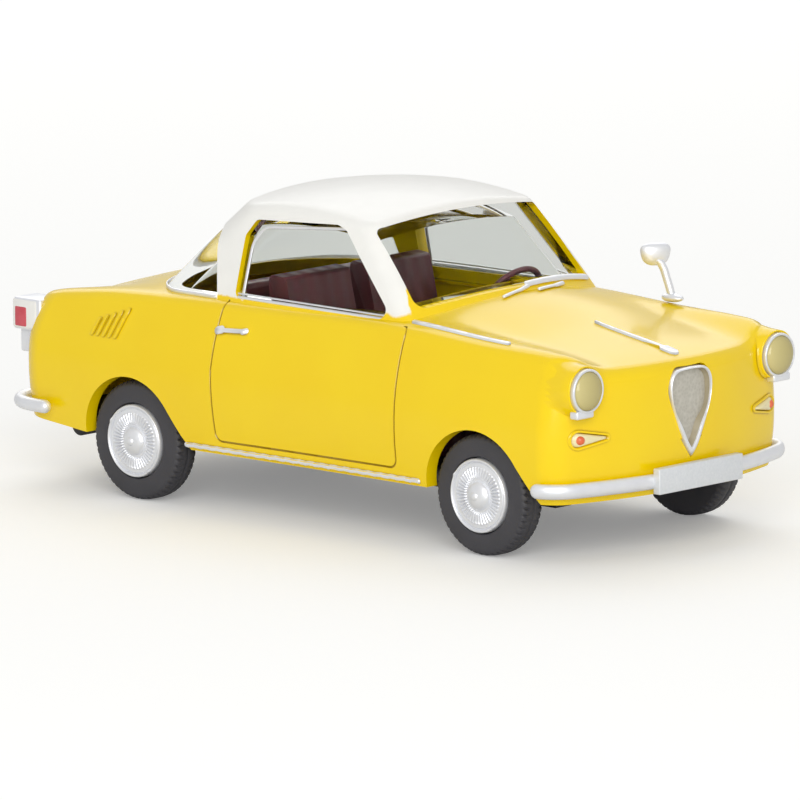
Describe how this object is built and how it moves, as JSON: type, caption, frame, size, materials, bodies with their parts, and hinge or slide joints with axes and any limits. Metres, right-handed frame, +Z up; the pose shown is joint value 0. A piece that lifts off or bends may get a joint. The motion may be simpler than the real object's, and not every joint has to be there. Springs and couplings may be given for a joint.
{
  "type": "scale model microcar",
  "caption": "Small scale model of a two-door microcar coupe with a white roof, clear windows and free-rolling wheelsets.",
  "frame": {"origin": "on the floor under the middle of the overall length", "axes": "+X forward, +Y to the left, +Z up"},
  "size_m": [0.0355, 0.0164, 0.0142],
  "materials": {
    "yellow_body": "glossy moulded plastic",
    "clear_glazing": "clear polystyrene",
    "maroon_interior": "moulded",
    "dark_wheel": "moulded",
    "black_chassis": "moulded",
    "silver_trim": "silver painted",
    "amber_lens": "tinted clear",
    "clear_lens": "clear with painted dot",
    "red_lens": "painted",
    "steel_axle": "drawn wire",
    "tyre_plastic": "matte",
    "silver_cap": "silver painted"
  },
  "bodies": {
    "car": {"body_shell": "yellow_body", "glazing": "clear_glazing", "interior": "maroon_interior", "steering_wheel": "dark_wheel", "chassis": "black_chassis", "front_bumper": "silver_trim", "rear_bumper": "silver_trim", "grille": "silver_trim", "wing_mirror": "silver_trim", "headlamp_ring_left": "silver_trim", "headlamp_lens_left": "amber_lens", "flasher_left": "clear_lens", "tail_lamp_left": "silver_trim", "tail_lens_left": "red_lens", "headlamp_ring_right": "silver_trim", "headlamp_lens_right": "amber_lens", "flasher_right": "clear_lens", "tail_lamp_right": "silver_trim", "tail_lens_right": "red_lens"},
    "front_wheelset": {"front_axle": "steel_axle", "tyre_front_left": "tyre_plastic", "tyre_front_right": "tyre_plastic", "hubcap_front_left": "silver_cap", "hubcap_front_right": "silver_cap"},
    "rear_wheelset": {"rear_axle": "steel_axle", "tyre_rear_left": "tyre_plastic", "tyre_rear_right": "tyre_plastic", "hubcap_rear_left": "silver_cap", "hubcap_rear_right": "silver_cap"}
  },
  "joints": [
    {"name": "front_axle_spin", "type": "hinge", "parent": "car", "child": "front_wheelset", "pos_m": [0.01134, 0, 0.00265], "axis": [0, 1, 0], "continuous": true},
    {"name": "rear_axle_spin", "type": "hinge", "parent": "car", "child": "rear_wheelset", "pos_m": [-0.00934, 0, 0.00265], "axis": [0, 1, 0], "continuous": true}
  ]
}
